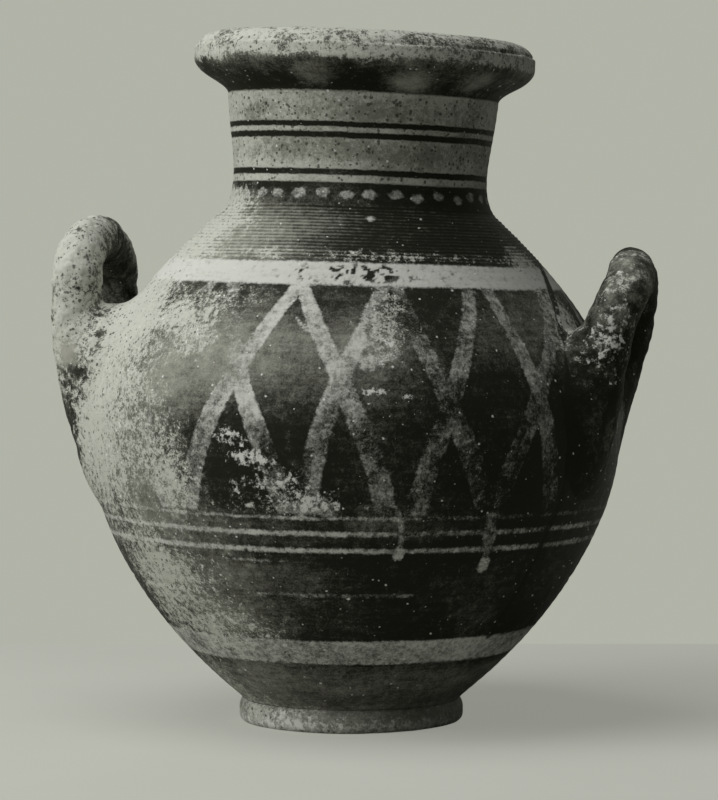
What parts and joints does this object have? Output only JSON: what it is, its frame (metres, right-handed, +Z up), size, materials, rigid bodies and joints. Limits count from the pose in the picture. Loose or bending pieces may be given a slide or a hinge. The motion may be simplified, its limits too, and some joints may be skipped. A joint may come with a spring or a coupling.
{
  "type": "two-handled jar",
  "caption": "Free-standing fired-clay storage jar with an egg-shaped body on a low foot ring, a tall collar neck, a heavy turned-out rim and upturned coil handles on the shoulder.",
  "frame": {"origin": "on the surface that the jar stands on, under the middle of its whole width, handles included, which is 4 mm to the +X side of the middle of the foot", "axes": "+Z up along the jar's axis, X through the two handles with the left handle at -X, and the mouth slumped slightly towards +X"},
  "size_m": [0.344, 0.311, 0.4012],
  "materials": {
    "painted_clay": "fired clay under worn dark paint, satin to matte, with bands and strokes in pale slip",
    "slipped_clay": "fired clay under a matte pale slip, pitted, with dark painted lines",
    "worn_clay": "hand-rolled clay with flaking slip over dark paint, matte and rough"
  },
  "bodies": {
    "root": {"foot_ring": "painted_clay", "lower_body": "painted_clay", "shoulder": "painted_clay", "neck": "slipped_clay", "rim": "slipped_clay", "left_handle": "worn_clay", "right_handle": "worn_clay"}
  },
  "joints": []
}
